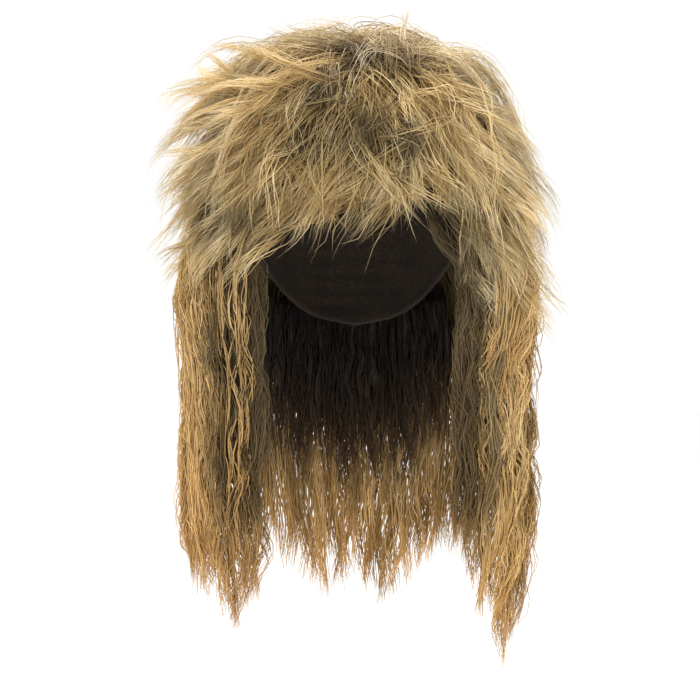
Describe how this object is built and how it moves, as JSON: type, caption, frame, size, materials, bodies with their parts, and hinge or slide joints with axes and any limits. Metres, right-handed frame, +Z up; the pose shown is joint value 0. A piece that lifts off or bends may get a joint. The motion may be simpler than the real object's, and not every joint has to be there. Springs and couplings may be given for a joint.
{
  "type": "layered cosplay wig",
  "caption": "Shaggy layered wig on a hollow cap: tousled crown and fringe, spiky side layers, and long wavy lengths before both shoulders.",
  "frame": {"origin": "the point inside the crown of the cap that rests on top of the wearer's head", "axes": "+Z is up; the face looks along -Y; +X is the wearer's left, which is the viewer's right from the front"},
  "size_m": [0.3069, 0.2742, 0.4802],
  "materials": {
    "cap_net": "knitted stretch net, matt",
    "blond_hair": "synthetic hair fibre, dark at the root and honey blond",
    "long_hair": "synthetic hair fibre, wavy, copper at the ends",
    "dark_hair": "synthetic hair fibre, near black"
  },
  "bodies": {
    "root": {"wig_cap": "cap_net", "crown_weft": "blond_hair", "fringe_weft": "blond_hair", "shag_weft_left": "blond_hair", "shag_weft_right": "blond_hair", "shag_weft_back": "blond_hair", "side_weft_left": "long_hair", "side_weft_right": "long_hair", "back_weft": "long_hair", "nape_weft": "dark_hair"}
  },
  "joints": []
}
